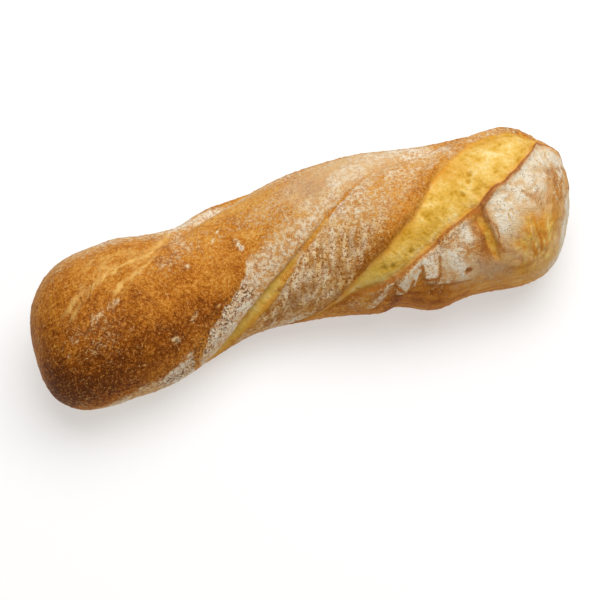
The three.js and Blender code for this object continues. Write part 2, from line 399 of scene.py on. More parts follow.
# %% [markdown]
# ### The right end's crust
#
# The right end is wrapped in a floury skin that cracked as the loaf swelled. One crack runs up to the split,
# scales of skin lift off near its lower edge, and under that edge the bare crust steps in. A scale is low at
# its root and lifted at its tip, with a thin trough outside the lifted edge.

# %% Crack, scales and skin edge
CRACK = {
    "x": 82.0, "lean": -0.08, "low": 28, "high": 67, "half_low": 1.7, "half_high": 2.8, "depth": 2.2,
    "ridge": 0.3, "ridge_width": 1.4,
}
SCALES = [
    ((49, 37), (48.5, 22), 3.6, 1.3), ((42, 30), (34.5, 12), 3.3, 1.3), ((28, 20), (20, -3), 2.2, 0.8),
]
SCALE_EDGE = 0.5
SCALE_ROOT_LIFT = 0.3
SCALE_TROUGH = {"away": 1.2, "width": 0.9, "depth": 0.4}
SKIN_EDGE = [(36, 16), (49, 14), (58, 13), (68, 11), (83, 4), (98, 0), (112, -4)]
SKIN_DROP = 1.0
END_PINCH = (128, 124, 9, 12)
END_PINCH_DEPTH = 2.2
FOOT = {"low": -80, "high": 8, "soft": 20}
FOOT_FOLDS = [(36, 6, -3.2), (53, 9, 2.8), (82, 13, -1.6)]

crack_height = unit((ANGLE - CRACK["low"]) / (CRACK["high"] - CRACK["low"]))
crack_half = blend(CRACK["half_low"], CRACK["half_high"], crack_height)
crack_line = CRACK["x"] + CRACK["lean"] * (ANGLE - CRACK["low"])
crack_across = X - crack_line + 0.9 * wander + 1.1 * noise(label, 6, 39)
crack_inside = rise(crack_half + crack_across, 1.2) * rise(crack_half - crack_across, 0.6)
crack_inside = crack_inside * rise(ANGLE - CRACK["low"] + 4 * wander, 4) * rise(CRACK["high"] - ANGLE, 3)
skin_height = distance_from(through(SKIN_EDGE, X)) + 1.5 * wander
crack = crack_inside * (CRACK["ridge"] * bell(crack_across, CRACK["ridge_width"]) - CRACK["depth"])
scales = 0 * X
scale_cover = []
for root, tip, radius, lift in SCALES:
    distance, toward_tip = capsule(root, tip)
    cover = rise(radius + 1.3 * wander - distance, SCALE_EDGE)
    trough = bell(distance - radius - SCALE_TROUGH["away"], SCALE_TROUGH["width"]) * toward_tip
    scales += lift * blend(SCALE_ROOT_LIFT, 1, toward_tip) * cover - SCALE_TROUGH["depth"] * trough
    scale_cover.append(cover)
under_skin = rise(-skin_height, 1.0) * rise(ANGLE - FOOT["low"], FOOT["soft"]) * within(X, 40, 112, 10, 12)
crust_shape = crack + scales - SKIN_DROP * under_skin - END_PINCH_DEPTH * spot(*END_PINCH)
foot_shape = within(ANGLE, FOOT["low"], FOOT["high"], FOOT["soft"], FOOT["soft"]) * swell_at(FOOT_FOLDS, X)
show_range("crust relief in mm", crust_shape)

# %% The folded body
BASE_FADE = {"none": -0.86, "full": -0.45}
LOBE_FOLD = [(-120, 64), (-102, 75), (-90, 86), (-70, 108), (-59, 126)]
LOBE_FOLD_HEIGHT = 0.5

fold_across = distance_from(through(LOBE_FOLD, X))
below_fold = np.minimum(fold_across, 0)
on_lobe = within(X, -116, -58, 8, 8)
fold_shape = rise(-fold_across, 2.0) * bell(below_fold, 9) - bell(fold_across, 1.6)
lobe_fold = LOBE_FOLD_HEIGHT * on_lobe * fold_shape
base_width = BASE_FADE["full"] - BASE_FADE["none"]
sine = np.sin(np.radians(ANGLE))
off_base = rise(sine - BASE_FADE["none"] - base_width / 2, base_width / 2)
main_relief = off_base * (split_shape + creases + crust_shape + foot_shape + lobe_fold)
BODY = body_points(X, RING, ANGLE, main_relief)
print("the folded body spans", np.round(np.ptp(BODY.reshape(-1, 3), axis=0), 1), "mm")

# %% [markdown]
# ## Fine relief
#
# Real crust is covered in small blisters, the torn crumb is pulled into threads across the split, and the
# skin of the right end is wrinkled. A bump map could fake them, but an exported mesh would lose it, so they
# move the vertices along the surface normal. The normal is the cross product of the grid's two directions.

# %% Where the crust is torn
GROOVE_TEAR = [(-66, 0), (-56, 0.9), (-20, 0.9), (-12, 0.7), (-2, 0.5), (10, 0.2), (20, 0)]

split_inside = rise(above_lip - 0.3, 0.6) * rise(below_shoulder - 0.6, 1.2) * unit(split_half)
groove_inside = rise(middle_across + 1.3 * groove_width + 1.6 * wander, 1.4) * rise(0.4 - middle_across, 0.6)
groove_broken = rise(0.7 + noise(label, 3, 37) - rise(X + 16, 8), 0.5)
groove_inside = groove_inside * through(GROOVE_TEAR, X) * groove_broken
TORN = unit(np.maximum(split_inside, groove_inside)) * off_base
# The crumb colour fades out towards the crack's upper end, so the darker crust shows there: painted shade in
# the deep crack.
TORN = np.maximum(TORN, 0.85 * crack_inside * rise(58 - ANGLE, 8))
print("share of the crust that is torn:", round(float(TORN.mean()), 3))

# %% Scored lines and pitted flour
SCORED = {"from": -34, "to": 34, "low": -14, "high": 66, "fade": 14}
SCORED_CELL = (3.6, 16.0)
SCORED_LEAN = 3
PITTED = [
    ((-66, 8), (-50, 32), 8), ((-50, 32), (-38, 42), 6), ((-84, -8), (-72, 0), 5),
    ((57, 47), (69, 55), 2),
]

strand = rise(0.4 - middle_across - 1.3 * groove_width, 0.7) * rise(-below_shoulder - 1.5, 2.0)
strand = strand * rise(MM_PER_DEGREE * 110 + middle_across, 8)
lean_length = np.hypot(1, SCORED_LEAN)
across_lines = (SCORED_LEAN * X - unrolled) / lean_length + 1.2 * wander
along_lines = (X + SCORED_LEAN * unrolled) / lean_length + 2.0 * wander_along
SCORED_PLACE = np.stack([across_lines / SCORED_CELL[0], along_lines / SCORED_CELL[1], 0 * X], -1)
scored = strand * within(X, SCORED["from"], SCORED["to"], 6, SCORED["fade"])
scored = scored * within(ANGLE, SCORED["low"], SCORED["high"], 10, SCORED["fade"])
scored = scored * blend(0.5, 1.0, rise(noise(PLAIN, 8, 87), 0.5))
pitted = np.max([rise(radius - capsule(start, stop)[0], 3) for start, stop, radius in PITTED], axis=0)
print("scored share:", scored.mean().round(4), "and pitted share:", pitted.mean().round(4))

# %% Blisters, threads, wrinkles and pits
SPLIT_SLOPE = 0.72
HOLE_CELL = 3.6
RELIEF = {
    "dimples": 0.3, "blisters": 0.35, "wrinkled": 0.4, "lines": 0.45, "ridges": 0.35, "threads": 0.3,
    "crumb": 0.12, "pits": 1.4, "holes": 0.7, "scored": 0.3, "pitted": 0.4,
}
PITS = [
    (82, 92, 1.1), (80, 86, 0.9), (75, 77, 0.9), (28, 33, 1.5), (32, 33, 1.2), (42, 42, 1), (67, 21, 1.2),
]
WRINKLED = [(110, 57, 11, 11), (92, 60, 7, 8), (108, 32, 15, 14), (124, 56, 7, 22), (92, 16, 9, 6)]

slope_length = np.hypot(1, SPLIT_SLOPE)
split_along = (X + SPLIT_SLOPE * unrolled) / slope_length
split_crosswise = (unrolled - SPLIT_SLOPE * X) / slope_length
crumb_threads = threads(split_along, split_crosswise, 1.3, 7.0, 41)
end_threads = threads(X, unrolled, 1.7, 14.0, 43)
wrinkled = np.max([spot(*mark) for mark in WRINKLED], axis=0)
wrinkle_lines = np.maximum(bell(cloud(label, 9, 97), 0.08), bell(cloud(label, 6, 99), 0.08))
WRINKLES = unit(1.3 * wrinkled) * wrinkle_lines
blister_near, blister_own = cells(BODY, 2.7, 51)
BLISTER = bell(blister_near, 0.36) * rise(blister_own, 0.7)
blisters = RELIEF["dimples"] * cloud(BODY, 6.0, 53) + RELIEF["blisters"] * BLISTER
wrinkles = RELIEF["wrinkled"] * wrinkled * (0.5 - 2 * np.abs(cloud(BODY, 5.0, 61, 2)))
wrinkles = wrinkles - RELIEF["lines"] * WRINKLES
end_ridges = RELIEF["ridges"] * rise(X - 116, 6) * end_threads
pits = sum(spot(x, angle, size, size) for x, angle, size in PITS)
hole_near, hole_own = cells(label + np.array([0, 0, HOLE_CELL / 2]), HOLE_CELL, 55)
HOLES = bell(hole_near, 0.2) * rise(hole_own - 0.35, 0.2) * split_inside
crumb_relief = RELIEF["threads"] * crumb_threads + RELIEF["crumb"] * noise(BODY, 1.6, 59)
fine_relief = blend(blisters, crumb_relief, TORN) + wrinkles + end_ridges
fine_relief = fine_relief - RELIEF["pits"] * unit(pits) - RELIEF["holes"] * HOLES
fine_relief = fine_relief - RELIEF["scored"] * scored * rise(noise(SCORED_PLACE, 1.0, 83), 0.5)
fine_relief = fine_relief - RELIEF["pitted"] * pitted * rise(noise(PLAIN, 1.8, 89) - 0.3, 0.2)
show_range("fine relief in mm", fine_relief)

# %% Moving the points along their normals
BASE_CLEARANCE = 3.0

lengthwise_step = np.gradient(BODY, axis=0)
around_step = np.roll(BODY, -1, axis=1) - np.roll(BODY, 1, axis=1)
normals = np.cross(lengthwise_step, around_step)
normals /= np.maximum(np.linalg.norm(normals, axis=-1, keepdims=True), 1e-9)
outward = BODY - BODY.mean(axis=1, keepdims=True)
normals *= np.sign((normals * outward).sum(-1).mean())
clear_of_base = unit(BODY[..., 2] / BASE_CLEARANCE)
CRUST = BODY + normals * (fine_relief * clear_of_base)[..., None]
CRUST[..., 2] = np.maximum(CRUST[..., 2], 0)
tips = body_points(np.array([-LENGTH / 2, LENGTH / 2]), np.zeros(2), np.zeros(2), np.zeros(2))
print("moved", CRUST.shape[0] * CRUST.shape[1], "points")

# %% [markdown]
# ## Colour fields
#
# Where the loaf is dark, pale, floury or torn is decided here, as numbers from 0 to 1 stored on the mesh.
# The material reads them and adds grain. A field is a sum of soft spots, of capsules, of bands beside the
# creases, and of noise, all placed by length and angle, so the pattern stays on the crust from any side.

# %% Spots and patches
CALM_RING = {"size": 0.42, "soft": 0.24}


def spots(marks):
    """Sum of soft ellipses (x, angle, long, high, amount)."""
    return sum(amount * spot(*ellipse) for *ellipse, amount in marks)


def patches(marks, soft, ragged):
    """Largest of capsules (start, stop, radius, amount) whose edges wander."""
    return np.max([amount * rise(radius + ragged * wander - capsule(start, stop)[0], soft)
                   for start, stop, radius, amount in marks], axis=0)


def calm_tips(field):
    """Near a tip, where rings are small, the field tends to the mean of each ring, so that no wedge shows."""
    own_share = rise(RING - CALM_RING["size"], CALM_RING["soft"])
    return blend(field.mean(axis=1, keepdims=True), field, own_share)


broad = cloud(BODY, 26, 71)
patchy = cloud(BODY, 9, 73)
show_range("broad unevenness", broad)

# %% Browning
# Spots of browning; the paler spot at x -60, 2 degrees is painted light in the pinch near the floor, where
# shade falls.
BROWNING_AND_PAINTED_LIGHT = [
    (-118, 24, 26, 22, 0.38), (-82, 40, 24, 12, 0.2), (-90, 14, 30, 14, 0.12), (-118, 84, 16, 14, 0.2),
    (-137, 15, 9, 34, 0.3), (-20, 128, 30, 12, -0.2), (-56, 76, 22, 26, 0.04), (-58, 44, 14, 8, 0.16),
    (-76, 44, 12, 8, 0.1), (-135, -16, 9, 16, 0.26), (-60, 2, 14, 10, -0.16), (-64, 74, 6, 12, 0.12),
    (8, 112, 12, 9, 0.12), (48, -8, 15, 12, 0.22), (31, 0, 6, 10, 0.26), (106, 30, 15, 20, -0.4),
    (20, 60, 40, 30, -0.08), (-4, 24, 16, 16, -0.1), (-96, 62, 16, 9, 0.06), (112, -14, 18, 14, -0.2),
    (30, 118, 26, 10, -0.1), (124, 48, 6, 22, 0.04), (78, -2, 14, 8, -0.16), (56, 44, 4, 5, 0.15),
    (91, 16, 8, 5, 0.14), (75, 22, 5, 7, 0.08), (-46, 96, 14, 18, -0.08), (72, 112, 12, 8, -0.2),
    (0, 8, 10, 6, 0.14),
]
SMOOTH_SKIN = [(84, 18, 15, 9, 1), (64, 28, 9, 9, 0.6)]
BURNT_REACH = [(10, 4), (36, 5), (56, 8), (90, 8)]

past_shoulder = np.minimum(below_shoulder + 2.0, 0)
burnt_edge = bell(past_shoulder, through(BURNT_REACH, X)) * rise(0.4 - below_shoulder, 0.9)
burnt_edge = burnt_edge * within(X, 12, 92, 9, 10) * blend(0.3, 1.0, rise(56 - X, 14))
underside = rise(-0.55 - sine, 0.2)
groove_side = rise(-middle_across - 0.55 * groove_width, 2.5) * bell(middle_across + 0.9 * groove_width, 4.0)
groove_side = groove_side * within(X, -58, -18, 6, 8)
foot_skin = rise(-skin_height, 1.5) * rise(X - 30, 8) * rise(ANGLE + 60, 20)
SMOOTH = np.maximum(foot_skin, unit(spots(SMOOTH_SKIN)))
foot_streaks = threads(unrolled, X, 1.8, 16.0, 107)
mottled = 0.07 + 0.14 * within(X, -56, 30, 12, 14)
end_mottled = rise(X - 70, 12) * rise(105 - ANGLE, 20) * (1 - 0.8 * SMOOTH)
BAKE = 0.5 + spots(BROWNING_AND_PAINTED_LIGHT) + 0.09 * broad + mottled * patchy - 0.15 * underside
BAKE = BAKE + 0.14 * burnt_edge * rise(-below_shoulder - 3.0, 2.0) + 0.14 * groove_side + 0.1 * scored
BAKE = BAKE + 0.12 * on_lobe * rise(-fold_across, 2.5) * bell(below_fold, 20)
BAKE = BAKE + 0.34 * rise(X - 100, 8) * np.clip(end_threads, -0.5, 0.8)
BAKE = BAKE + end_mottled * (0.26 * patchy + 0.24 * noise(label, 3.5, 101))
BAKE = calm_tips(BAKE + 0.22 * foot_skin * foot_streaks)
show_range("browning", BAKE)

# %% Toasted edges and painted shadow lines
LIP_BAND = [
    (18, 1), (48, 0.7), (58, 0.8), (72, 1), (80, 3), (87, 2.8), (93, 2.1), (100, 2), (105, 2.6),
    (114, 2.2), (124, 2),
]
# Most of these lines are dark-baked crust; those along the lower edges of the lifted scales and under the
# skin edge are painted shadow.
TOAST_AND_SHADOW_LINES = [
    ((123, 103), (134, 102), 1.3, 0.9), ((84, 32), (91, 28), 0.6, 0.6), ((91, 28), (100, 32), 0.5, 0.5),
    ((45, 31), (45.5, 22), 0.6, 0.8), ((45.5, 20), (52, 19), 0.9, 1), ((53, 20), (54.5, 36), 0.6, 0.8),
    ((31, 18), (35.5, 9), 0.7, 0.9), ((36.5, 9), (40, 20), 0.5, 0.7), ((27, 20), (20, 4), 0.5, 0.7),
    ((48, 12.5), (68, 9.5), 0.8, 0.7), ((-10, 74), (-6, 66), 0.5, 0.7), ((-34, 4), (-21, 22), 0.7, 0.6),
    ((66.2, 20), (68, 21.5), 1.1, 1), ((54, 48), (60, 42), 0.5, 0.4),
]
# Dark strokes of baked crust; the one along the crack's right side and those in the wrinkled skin of the
# right end also carry painted shadow of the overhang and of the folds.
STROKES = [
    ([(76.5, 60), (76, 46), (78.5, 31)], 1.1, 0.75),
    ([(82.3, 67), (82.8, 55), (83.8, 44), (84.6, 32)], 0.8, 1), ([(103, 69), (106, 64)], 0.6, 0.8),
    ([(105, 65), (110, 57), (111, 52)], 0.7, 0.8), ([(108, 67), (111, 60)], 0.6, 0.8),
    ([(112, 57), (117, 54)], 0.6, 0.8), ([(113, 52), (119, 47)], 0.7, 0.7),
    ([(106, 60), (112, 62), (116, 60)], 0.6, 0.7), ([(100, 62), (103, 60)], 0.5, 0.6),
    ([(127, 76), (124, 60), (121, 45), (118, 28)], 1.7, 0.55),
    ([(131, 60), (128, 44), (124, 30)], 1.4, 0.5), ([(120, 68), (118, 56), (116, 46)], 0.7, 0.5),
    ([(115, 44), (114, 34), (112, 24)], 0.8, 0.4), ([(104, 46), (106, 40), (104, 34)], 0.7, 0.4),
    ([(98, 30), (106, 24), (112, 26)], 0.7, 0.4), ([(97, 79), (99, 75)], 0.6, 0.6),
    ([(126, 92), (127, 80)], 0.7, 0.5), ([(118, 90), (120, 80)], 0.6, 0.4),
    ([(88, 64), (90, 60)], 0.5, 0.4), ([(94, 58), (95, 54)], 0.5, 0.4),
    ([(101, 76), (104, 74)], 0.5, 0.5), ([(88, 40), (94, 41), (103, 38)], 0.8, 0.35),
    ([(86, 18), (92, 13), (100, 15), (108, 20)], 1, 0.6),
]
SPLIT_AMBER = [(72, 98, 14, 6, 0.4), (100, 120, 14, 4, 0.3), (122, 102, 5, 6, 0.3), (14, 22, 8, 5, 0.3)]
AMBER = [(107, 33, 14, 14, 1.35), (98, 27, 10, 10, 0.9), (112, 12, 12, 8, 0.5), (119, 36, 7, 14, 0.8)]

# Below the lip the dark band is its baked rim together with painted shadow under the lip.
lip_toast_and_shadow = rise(0.5 - above_lip, 0.4) * rise(above_lip + through(LIP_BAND, X), 0.4) * rise(split_half - 2, 2)
lip_toast_and_shadow = lip_toast_and_shadow * blend(0.75, 1.0, rise(X - 80, 6))
strokes = [amount * bell(path_distance(marks, 3.0), width) for marks, width, amount in STROKES]
# Dark lines along the wrinkles are painted shade in their grooves.
wrinkle_toast_and_shade = 0.7 * WRINKLES * rise(noise(label, 5, 105), 0.5)
TOAST_AND_SHADOW = np.max([lip_toast_and_shadow, patches(TOAST_AND_SHADOW_LINES, 0.5, 0.5), wrinkle_toast_and_shade, *strokes], axis=0)
beside_shoulder = bell(below_shoulder - 0.4, blend(2.6, 1.6, rise(X - 40, 14)))
split_edge = 0.6 * bell(above_lip - 0.6, 1.3) + 0.8 * beside_shoulder + spots(SPLIT_AMBER)
amber = spots(AMBER)
marbled = 2.0 * patchy + 2.4 * end_threads + 1.5 * noise(label, 3.2, 103)
EDGE = np.max([
    unit(split_edge) * split_inside,
    0.9 * rise(wander - 0.8 * groove_width - middle_across, 1.6) * groove_inside,
    unit(amber) * unit(0.32 + marbled),
    unit(0.4 + 0.6 * noise(label, 2.5, 45)) * crack_inside,
], axis=0)
print("toasted share:", TOAST_AND_SHADOW.mean().round(4))

# %% Flour
STRIP_TOP = [
    (-66, 8), (-62, 21), (-57, 28), (-52, 34), (-49.5, 39), (-46, 39.5), (-43, 44), (-38, 51),
    (-36, 52.5), (-33, 64), (-32, 68), (-26, 72), (-19, 82), (-10, 94), (0, 100), (9, 102), (15, 108),
    (21, 128), (60, 150), (100, 150),
]
STRIP_FLOUR = [
    (-70, 0.94), (-50, 0.95), (-42, 0.96), (-36, 0.88), (-28, 0.78), (-20, 0.86), (-6, 0.84), (20, 0.9),
    (90, 0.86),
]
STRAND_FLOUR = [(-60, 0.5), (-25, 0.84), (-5, 0.88), (10, 0.82), (40, 0.74), (70, 0.74), (110, 0.45)]
FOOT_FLOUR_TOP = [(-130, -30), (-112, -8), (-98, 0), (-85, 5), (-78, 13), (-72, 20), (-60, 20)]
FLOUR_PATCHES = [
    ((93, 64), (91, 55), 8, 1.15), ((88, 58), (88, 49), 6, 1.15), ((86.5, 63), (87, 48), 5, 1.15),
    ((97, 76), (126, 92), 6.5, 1.05), ((101, 68), (114, 70), 8.5, 1.05), ((106, 60), (114, 58), 6, 0.95),
    ((119, 86), (135, 82), 8, 1.05), ((70, 51), (72, 46), 5.4, 1.1), ((62, 35), (64, 21), 6, 1.1),
    ((51, 15.5), (70, 14), 2, 1.05), ((48, 36), (48, 23), 3.2, 1.1), ((36, 25), (35, 13), 3, 0.9),
    ((87, 31), (92, 25), 4, 0.8), ((124, 24), (118, -6), 6, 1.3),
    ((128, 34), (131, 10), 6, 1.3),
]
# Soft spots of dust; the spot at x 84, 2 degrees is painted light along the lower edge of the right end,
# which faces down.
FLOUR_DUST_AND_PAINTED_LIGHT = [
    (15, 2, 9, 10, 0.6), (24, 77, 5, 6, 0.95), (104, -2, 14, 8, 0.4), (-25, 100, 24, 12, 0.34),
    (-16, 96, 10, 8, 0.2), (-55, 110, 12, 14, 0.3), (116, -4, 12, 18, 0.75), (45, 34, 20, 12, 0.45),
    (64, 34, 16, 18, 0.74), (-112, 64, 18, 6, 0.34), (-110, 48, 10, 5, 0.34), (-20, 138, 34, 6, 0.6),
    (-74, 92, 14, 8, 0.4), (104, 72, 16, 12, 0.6), (130, 60, 8, 26, 0.55), (40, 132, 44, 12, 0.8),
    (-50, 138, 24, 6, 0.55), (0, 108, 26, 10, 0.4), (84, 2, 18, 10, 0.42), (104, 130, 22, 6, 0.7),
    (131, 8, 10, 24, 1.05), (-100, 138, 40, 10, 0.8), (66, 136, 12, 7, 0.8), (-62, 112, 8, 10, 0.36),
    (76, 118, 12, 6, 0.85), (-8, 52, 10, 6, 0.92), (-36, 36, 3, 4, 0.95), (-128, -8, 12, 10, 0.25),
    (50, 102, 20, 10, 0.5), (108, 66, 17, 14, 0.72),
]
THIN_FLOUR = [
    (-6, 84, 9, 5, 0.1), (-2, 6, 10, 5, 0.42), (107, 32, 14, 13, 0.6), (76, 48, 3, 8, 0.35),
    (81, 32, 5, 4, 0.4), (93, 13, 11, 10, 0.3), (97, 24, 4, 4, 0.3), (75, 57, 3, 3, 0.3),
    (-30, 4, 8, 10, 0.2),
]
COAT = [
    ((98, 74), (124, 90), 6, 0.9), ((98, 66), (112, 68), 7, 0.85), ((91, 64), (90, 50), 6.8, 1),
    ((87, 62), (87.5, 49), 4.4, 1), ((108, 58), (114, 60), 4, 0.6), ((120, 84), (132, 84), 6, 0.9),
    ((124, 22), (118, -6), 5, 0.7), ((128, 34), (131, 14), 5, 0.7), ((69, 50), (71, 46), 2.6, 0.6),
    ((58, 31), (66, 19), 6, 0.5), ((70, 24), (82, 16), 5.5, 0.42), ((6, 108), (46, 130), 11, 0.36),
    ((116, 20), (120, 25), 3.5, 0.6), ((88, 27), (92, 24), 3, 0.5),
]
FLOUR_FLECKS = [
    ((-44, 98), (-42, 99), 1.2, 1.1), ((-40, 104), (-40, 98), 0.9, 1.1), ((-33, 88), (-32, 79), 1, 1.05),
    ((-67, 43), (-65, 45), 2, 0.5), ((-111, 69), (-100, 75), 1.3, 0.8),
    ((-124, 60), (-122, 60), 1.2, 0.6), ((-63, 86), (-60, 84), 0.9, 0.7), ((-79, 35), (-77, 34), 1, 0.65),
    ((-98, 52), (-96, 52), 0.8, 0.5), ((-128, 50), (-127, 50), 0.7, 0.6),
    ((-137, 84), (-138, 66), 0.9, 0.6),
]
SCALE_FLOUR = [1.05, 1.0, 0.85]

strip_top = distance_from(through(STRIP_TOP, X))
strip_soft = 1.4 + 7.0 * rise(X + 26, 12) + 5.0 * rise(X - 10, 8)
strip = rise(middle_across - 0.3, 0.7) * rise(2.6 * wander + 3.0 * patchy - strip_top, strip_soft)
strip = strip * rise(X + 68, 2.5)
foot_top = distance_from(through(FOOT_FLOUR_TOP, X))
foot_flour = rise(2.0 * wander + 2.0 * patchy - foot_top, 2.5 + 3.0 * rise(-90 - X, 10))
foot_flour = foot_flour * rise(-70 - X, 1.5) * rise(ANGLE + 60, 20)
strip_flour = strip * through(STRIP_FLOUR, X) * (1 - 0.15 * bell(middle_across - 1, 2.5))
strand_flour = strand * (through(STRAND_FLOUR, X) + 0.15 * patchy + 0.06 * scored)
lip_dust = bell(above_lip + 3.0, 4.5) * within(X, 14, 76, 6, 4)
FLOUR = np.max([
    strip_flour,
    strand_flour,
    blend(0.85, 0.95, rise(X + 86, 6)) * foot_flour,
    np.clip(spots(FLOUR_DUST_AND_PAINTED_LIGHT), 0, 0.95),
    patches(FLOUR_PATCHES, 6.5, 3.2),
    patches(FLOUR_FLECKS, 1.0, 2.2),
    lip_dust * (0.6 + 0.3 * patchy + 0.28 * rise(X - 36, 8)),
    0.42 * underside,
    *[amount * cover for amount, cover in zip(SCALE_FLOUR, scale_cover)],
], axis=0)
end_streaks = rise(X - 108, 10) * np.clip(end_threads, -0.2, 0.8)
FLOUR = FLOUR + 0.08 * patchy + 0.45 * end_streaks - spots(THIN_FLOUR)
bared = (1 - 0.95 * TORN) * (1 - 0.9 * TOAST_AND_SHADOW) * (1 - 0.8 * burnt_edge) * (1 - 0.85 * crack_inside)
FLOUR = calm_tips(FLOUR * bared)
EVEN_COAT = calm_tips(patches(COAT, 6.0, 3.0) * bared)
print("mean flour:", FLOUR.mean().round(3))

# %% Stretched streaks and doughy hollows
STREAKS = [
    ([(-62, 131), (-69, 118), (-74, 111), (-80, 105), (-87, 102), (-98, 99), (-107, 94)], 1, 1),
    ([(-107, 94), (-115, 91), (-118, 88), (-120, 84), (-120, 78)], 0.8, 0.9),
    ([(-76, 102), (-81, 96), (-85, 90), (-90, 87), (-95, 85), (-98, 82)], 0.8, 0.9),
    ([(-92, 101), (-98, 104), (-106, 104)], 0.7, 0.6), ([(-112, 98), (-113, 92), (-109, 88)], 0.6, 0.6),
    ([(-84, 114), (-94, 115), (-104, 112)], 0.8, 0.5),
]
STREAK_SLOPE = 0.57
# Crumb tones: the two pale spots are the crumb's own colour; the darker spot at x 48, 58 degrees is painted
# shade towards the split's upper edge.
CRUMB_TONES_AND_SHADE = [(94, 101, 14, 9, 0.24), (112, 110, 10, 7, 0.2), (48, 58, 14, 7, -0.22)]
DOUGHY = [(-25, 34, 5, 4, 0.9), (-46, 4, 8, 6, 0.6), (-36, 16, 6, 4, 0.4), (20, 28, 14, 8, 0.5)]

streak_distances = [path_distance(marks, 2.4) for marks, _, _ in STREAKS]
streaks = [amount * bell(distance, width) for distance, (_, width, amount) in zip(streak_distances, STREAKS)]
near_streak = bell(np.min(streak_distances, axis=0), 4.0)
streak_threads = threads(unrolled - STREAK_SLOPE * X, X + STREAK_SLOPE * unrolled, 1.4, 14.0, 95)
streaks = np.max(streaks, axis=0) * blend(0.4, 1.0, rise(noise(BODY, 2.5, 91), 0.5))
STRETCHED = np.maximum(streaks, 0.5 * near_streak * rise(streak_threads - 0.3, 0.2))
BAKE = BAKE - 0.04 * near_streak
# The crumb is painted darker in the holes and pits as painted shade in them, and paler along the inside of
# the lower lip as painted light on that wall.
CRUMB = 0.45 + 0.22 * crumb_threads + spots(CRUMB_TONES_AND_SHADE) - 0.6 * HOLES - 0.7 * unit(pits)
CRUMB = CRUMB + 0.26 * bell(above_lip - 2.6, 3.0) * rise(72 - X, 8) + 0.14 * unit(amber)
DOUGH = unit(spots(DOUGHY)) * TORN
bare_amber = unit(amber * (1.1 + 0.7 * marbled)) * (1 - unit(FLOUR))
YELLOW = np.maximum(TORN, bare_amber)
print("strongest streak:", STRETCHED.max().round(2))

# %% [markdown]
# ## The crust's mesh
#
# The grid becomes quads, and a fan of triangles closes each end on its tip. The colour fields are stored as
# point attributes with plain names, which the material reads back.

# %% Building the mesh
def closed_skin(name, grid, end_points):
    """A tube of quads from a grid that closes round the loaf, with a fan of triangles at each tip."""
    rings, columns, _ = grid.shape
    points = np.concatenate([grid.reshape(-1, 3), end_points])
    corner = np.arange(rings * columns).reshape(rings, columns)
    beside = np.roll(corner, -1, axis=1)
    quads = np.stack([corner[:-1], corner[1:], beside[1:], beside[:-1]], -1).reshape(-1, 4)
    first, last = len(points) - 2, len(points) - 1
    left_fan = np.stack([np.full(columns, first), corner[0], beside[0]], -1)
    right_fan = np.stack([np.full(columns, last), beside[-1], corner[-1]], -1)
    mesh = bpy.data.meshes.new(name)
    mesh.from_pydata(points.tolist(), [], quads.tolist() + left_fan.tolist() + right_fan.tolist())
    mesh.polygons.foreach_set("use_smooth", np.ones(len(mesh.polygons), bool))
    mesh.update()
    return mesh


def store(mesh, name, field):
    """Saves numbers or places on the mesh's points, with each tip taking the mean of the ring beside it."""
    kind, item = ("FLOAT", "value") if field.ndim == 2 else ("FLOAT_VECTOR", "vector")
    values = np.concatenate([field.ravel(), field[[0, -1]].mean(axis=1).ravel()])
    mesh.attributes.new(name, kind, "POINT").data.foreach_set(item, values.astype(np.float32))


def placed(name, data):
    """A new object with this data, linked into the scene."""
    thing = bpy.data.objects.new(name, data)
    bpy.context.scene.collection.objects.link(thing)
    return thing


skin_points = CRUST.reshape(-1, 3)
skin_middle = (skin_points.min(0) + skin_points.max(0)) / 2
to_frame = (loaf_low + loaf_high) / 2 / MM - skin_middle
to_frame[2] = 0
crust_mesh = closed_skin("crust", (CRUST + to_frame) * MM, (tips + to_frame) * MM)
FIELDS = {
    "bake": BAKE, "flour": FLOUR, "torn": YELLOW, "toast_and_shadow": TOAST_AND_SHADOW, "edge": EDGE, "stretched": STRETCHED,
    "dough": DOUGH, "crumb": CRUMB, "blister": BLISTER, "pitted": pitted, "scored": scored,
    "coat": EVEN_COAT, "smooth": SMOOTH, "scored_place": SCORED_PLACE,
}
for field_name, field in FIELDS.items():
    store(crust_mesh, field_name, field)
crust = placed("crust", crust_mesh)
crust_mesh.calc_loop_triangles()
print("crust has", len(crust_mesh.loop_triangles), "triangles; moved by", np.round(to_frame, 2), "mm")

# %% [markdown]
# ## The crust's material
#
# One material covers the loaf, because crust, torn crumb and flour run into each other. It is built in
# layers like the real thing: baked skin from straw to dark brown with painted glints, yellow crumb where it
# tore, dark-baked lips with painted shadow lines, and flour that lies in clumps on top. Small helpers keep
# the node tree short.

# %% Node helpers
FULL_LIGHT = 1.3
SRGB = {"linear": 12.92, "shift": 0.055, "power": 2.4, "knee": 0.04045}
MIXED_COLOUR = 2


def shown(red, green, blue):
    """The surface colour that shows as this screen colour, 0 to 255, where the lamp's full light falls."""
    share = np.array([red, green, blue]) / 255
    curved = ((share + SRGB["shift"]) / (1 + SRGB["shift"])) ** SRGB["power"]
    light = np.where(share <= SRGB["knee"], share / SRGB["linear"], curved)
    return (*(light / FULL_LIGHT).tolist(), 1.0)


